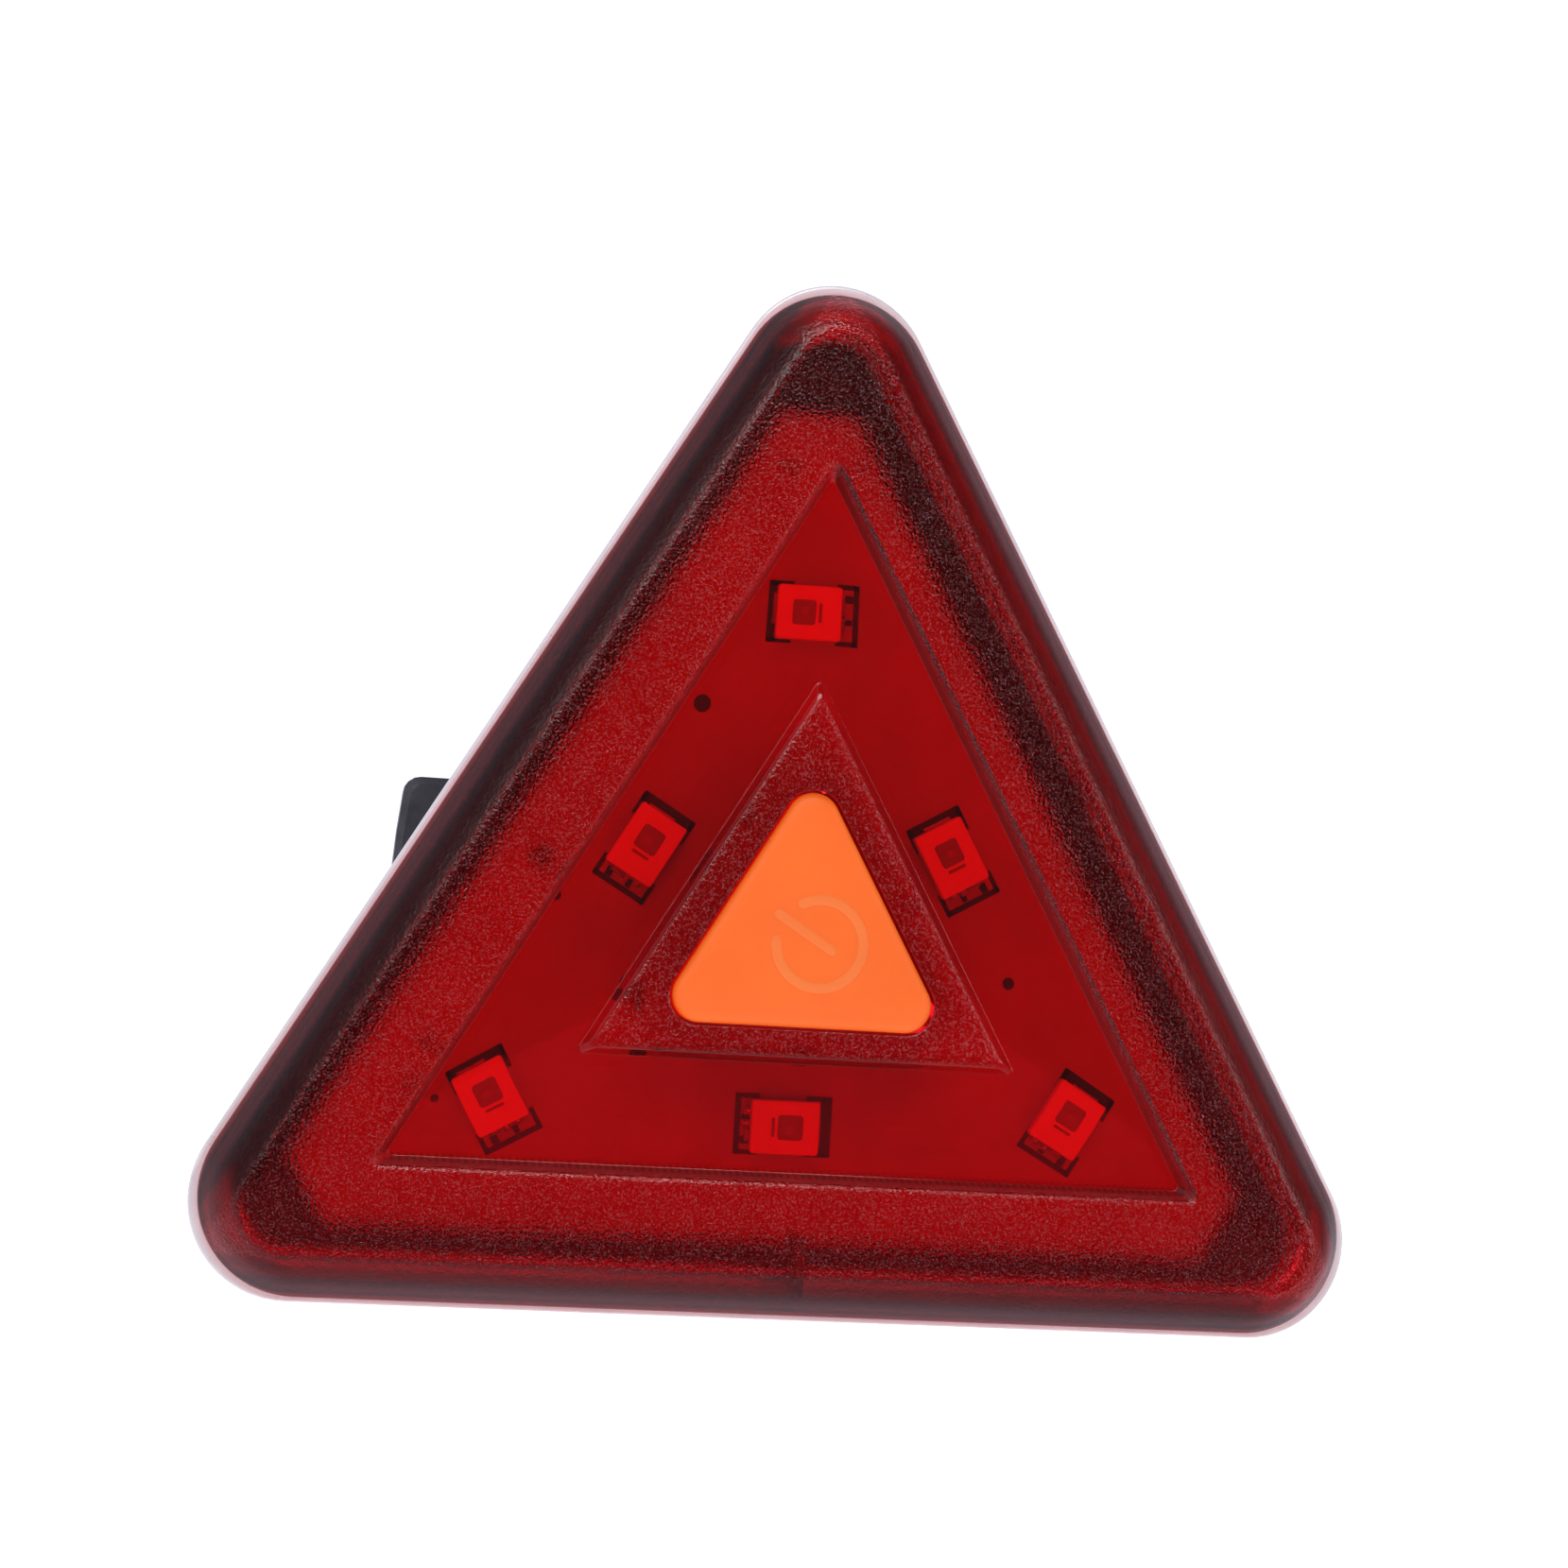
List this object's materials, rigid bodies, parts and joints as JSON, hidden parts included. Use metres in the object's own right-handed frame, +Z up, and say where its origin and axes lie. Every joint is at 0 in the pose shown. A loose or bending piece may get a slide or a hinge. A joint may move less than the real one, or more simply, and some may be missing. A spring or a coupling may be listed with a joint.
{
  "type": "clip-on warning triangle light",
  "caption": "Small triangular clip-on safety light: grained red lens over LEDs, orange push button, silver shell and a sprung strap clip behind.",
  "frame": {"origin": "middle of the bounding box's bottom face; the shell's bottom edge rests on z = 0", "axes": "+X to the right seen from the lens side, +Y from the lens back to the clip, +Z up to the apex"},
  "size_m": [0.0584, 0.021, 0.0519],
  "materials": {
    "lens": "translucent red, fine grain, polished window",
    "button": "orange silicone, satin",
    "carrier_plastic": "black moulded plastic",
    "shell": "silver-grey moulded plastic, satin",
    "black_plastic": "black moulded plastic, fine grain",
    "clip_plastic": "black moulded plastic, fine grain",
    "frame_plastic": "black moulded plastic",
    "pin_steel": "ground steel",
    "spring_steel": "drawn spring wire",
    "screw_steel": "plated steel",
    "board": "white solder mask",
    "led": "white moulded package with a clear face",
    "switch_plastic": "black moulded plastic",
    "plunger_plastic": "grey moulded plastic",
    "chip_plastic": "black epoxy",
    "resistor": "black ceramic with plated ends",
    "capacitor_ceramic": "tan ceramic with plated ends",
    "cell_steel": "nickel-plated steel",
    "retainer_metal": "tinned spring metal",
    "contact_metal": "gold-flashed phosphor bronze",
    "seal_rubber": "soft black rubber",
    "seal_silicone": "soft pale silicone"
  },
  "bodies": {
    "housing": {"lens_cover": "lens", "rear_shell": "shell", "rear_cover": "black_plastic", "hinge_pin": "pin_steel", "torsion_spring": "spring_steel", "cover_screw_1": "screw_steel", "cover_screw_2": "screw_steel", "cover_screw_3": "screw_steel", "inner_frame": "frame_plastic", "circuit_board": "board", "led_top": "led", "led_left": "led", "led_right": "led", "led_bottom_left": "led", "led_bottom": "led", "led_bottom_right": "led", "switch_body": "switch_plastic", "controller_chip": "chip_plastic", "resistor_1": "resistor", "resistor_2": "resistor", "resistor_3": "resistor", "capacitor": "capacitor_ceramic", "coin_cell": "cell_steel", "cell_retainer": "retainer_metal", "negative_contact": "contact_metal", "lens_seal": "seal_silicone", "rear_seal": "seal_rubber"},
    "button": {"power_button": "button", "button_carrier": "carrier_plastic", "switch_plunger": "plunger_plastic"},
    "clip": {"clip_lever": "clip_plastic"}
  },
  "joints": [
    {"name": "button_press", "type": "slide", "parent": "housing", "child": "button", "axis": [0, 1, 0], "range_m": [0, 0.0005], "stiffness_N_per_m": 2400, "springref_m": -0.0001},
    {"name": "clip_hinge", "type": "hinge", "parent": "housing", "child": "clip", "pos_m": [-0.008, 0.0059, 0.01895], "axis": [0, 0, 1], "range_deg": [0, 22], "stiffness_Nm_per_rad": 0.15, "springref_deg": -34.38, "deforming": ["torsion_spring"]}
  ]
}
